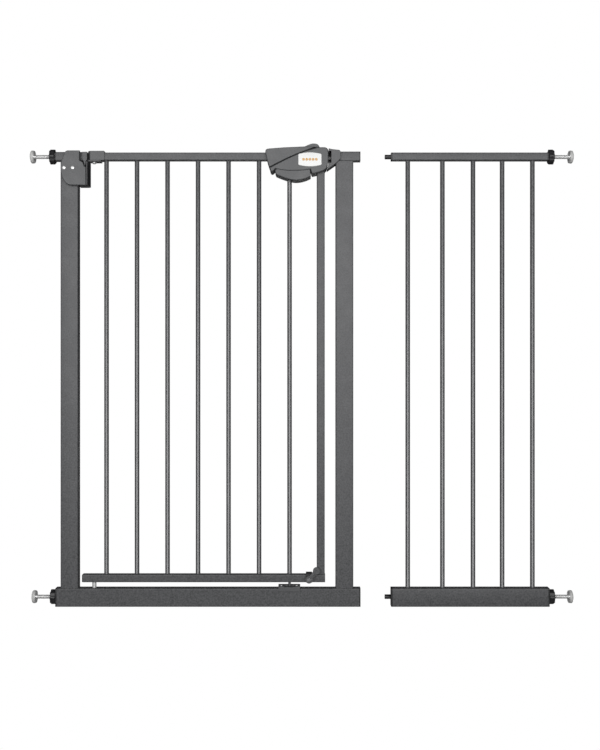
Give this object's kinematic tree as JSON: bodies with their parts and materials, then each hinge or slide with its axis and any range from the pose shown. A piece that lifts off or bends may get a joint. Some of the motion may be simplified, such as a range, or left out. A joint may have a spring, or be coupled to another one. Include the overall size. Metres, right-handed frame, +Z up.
{
  "type": "baby safety gate",
  "caption": "Tall pressure-fit baby gate: a swing-and-lift door in a tube frame, thumb-slide latch handle, screw-out wall pads and a separate plug-in extension panel.",
  "frame": {"origin": "on the floor, midway between the outermost wall pads, at the middle of the frame's depth", "axes": "+X towards the extension panel, along the gate; +Y away from the side with the riveted hinge cover; +Z up"},
  "size_m": [1.2328, 0.0475, 1.0491],
  "materials": {
    "paint": "charcoal textured powder coat",
    "plastic": "dark grey fine-grained moulding",
    "dark_plastic": "near-black moulding",
    "zinc": "bright zinc plate"
  },
  "bodies": {
    "frame": {"frame_bottom_rail": "paint", "frame_left_upright": "paint", "frame_right_upright": "paint", "top_left_stub": "paint", "top_right_stub": "paint", "end_plug_top_left": "dark_plastic", "end_plug_bottom_left": "dark_plastic", "end_plug_top_right": "dark_plastic", "end_plug_bottom_right": "dark_plastic", "bottom_catch": "plastic", "latch_keeper": "plastic", "hinge_cover": "plastic", "hinge_housing": "dark_plastic", "hinge_bracket": "paint", "hinge_rivet_left": "zinc", "hinge_rivet_right": "zinc", "pivot_bush": "dark_plastic"},
    "pivot": {"top_hinge_pin": "zinc", "bottom_hinge_pin": "zinc", "closing_spring": "zinc"},
    "door": {"door_top_rail": "paint", "door_bottom_rail": "paint", "door_stile": "paint", "door_rod_1": "paint", "door_rod_2": "paint", "door_rod_3": "paint", "door_rod_4": "paint", "door_rod_5": "paint", "door_rod_6": "paint", "door_rod_7": "paint", "hinge_collar": "plastic", "handle_wing": "plastic", "handle_front_shell": "plastic", "handle_rear_shell": "plastic", "stop_saddle": "dark_plastic", "stop_pin": "zinc"},
    "stop_lever": {"stop_lever": "plastic"},
    "latch": {"thumb_slider": "plastic", "latch_bolt": "dark_plastic", "latch_spring": "zinc"},
    "trigger": {"grip_trigger": "plastic"},
    "panel": {"panel_top_rail": "paint", "panel_bottom_rail": "paint", "panel_rod_1": "paint", "panel_rod_2": "paint", "panel_rod_3": "paint", "panel_rod_4": "paint", "panel_rod_5": "paint", "panel_pin_top": "dark_plastic", "panel_pin_bottom": "dark_plastic", "panel_plug_top": "dark_plastic", "panel_plug_bottom": "dark_plastic"},
    "spindle_top_left": {"spindle_top_left": "zinc"},
    "nut_top_left": {"hand_nut_top_left": "dark_plastic"},
    "spindle_bottom_left": {"spindle_bottom_left": "zinc"},
    "nut_bottom_left": {"hand_nut_bottom_left": "dark_plastic"},
    "spindle_top_right": {"spindle_top_right": "zinc"},
    "nut_top_right": {"hand_nut_top_right": "dark_plastic"},
    "spindle_bottom_right": {"spindle_bottom_right": "zinc"},
    "nut_bottom_right": {"hand_nut_bottom_right": "dark_plastic"}
  },
  "joints": [
    {"name": "door_swing", "type": "hinge", "parent": "frame", "child": "pivot", "pos_m": [-0.4719, 0, 0.5], "axis": [0, 0, 1], "range_deg": [-90, 90], "stiffness_Nm_per_rad": 1},
    {"name": "door_lift", "type": "slide", "parent": "pivot", "child": "door", "axis": [0, 0, 1], "range_m": [0, 0.01]},
    {"name": "stop_lever_turn", "type": "hinge", "parent": "door", "child": "stop_lever", "pos_m": [0.0164, -0.016, 0.0625], "axis": [0, 1, 0], "range_deg": [0, 140]},
    {"name": "latch_slide", "type": "slide", "parent": "door", "child": "latch", "axis": [-1, 0, 0], "range_m": [0, 0.014], "stiffness_N_per_m": 300, "springref_m": -0.01, "deforming": ["latch_spring"]},
    {"name": "trigger_squeeze", "type": "slide", "parent": "door", "child": "trigger", "axis": [0, 0, 1], "range_m": [0, 0.004], "stiffness_N_per_m": 600, "springref_m": -0.005},
    {"name": "panel_slide", "type": "slide", "parent": "frame", "child": "panel", "axis": [-1, 0, 0], "range_m": [0, 0.069]},
    {"name": "nut_turn_top_left", "type": "hinge", "parent": "frame", "child": "nut_top_left", "pos_m": [-0.56, 0, 1.021], "axis": [-1, 0, 0], "range_deg": [-3601, 5761]},
    {"name": "spindle_slide_top_left", "type": "slide", "parent": "frame", "child": "spindle_top_left", "axis": [-1, 0, 0], "range_m": [-0.024, 0.015]},
    {"name": "nut_turn_bottom_left", "type": "hinge", "parent": "frame", "child": "nut_bottom_left", "pos_m": [-0.5582, 0, 0.021], "axis": [-1, 0, 0], "range_deg": [-3601, 5761]},
    {"name": "spindle_slide_bottom_left", "type": "slide", "parent": "frame", "child": "spindle_bottom_left", "axis": [-1, 0, 0], "range_m": [-0.024, 0.015]},
    {"name": "nut_turn_top_right", "type": "hinge", "parent": "panel", "child": "nut_top_right", "pos_m": [0.56, 0, 1.021], "axis": [1, 0, 0], "range_deg": [-3601, 5761]},
    {"name": "spindle_slide_top_right", "type": "slide", "parent": "panel", "child": "spindle_top_right", "axis": [1, 0, 0], "range_m": [-0.024, 0.015]},
    {"name": "nut_turn_bottom_right", "type": "hinge", "parent": "panel", "child": "nut_bottom_right", "pos_m": [0.5611, 0, 0.021], "axis": [1, 0, 0], "range_deg": [-3601, 5761]},
    {"name": "spindle_slide_bottom_right", "type": "slide", "parent": "panel", "child": "spindle_bottom_right", "axis": [1, 0, 0], "range_m": [-0.024, 0.015]}
  ],
  "couplings": [
    {"joint": "nut_turn_top_left", "follows": "spindle_slide_top_left", "rad_per_m": -4188.8},
    {"joint": "nut_turn_bottom_left", "follows": "spindle_slide_bottom_left", "rad_per_m": -4188.8},
    {"joint": "nut_turn_top_right", "follows": "spindle_slide_top_right", "rad_per_m": -4188.8},
    {"joint": "nut_turn_bottom_right", "follows": "spindle_slide_bottom_right", "rad_per_m": -4188.8}
  ]
}
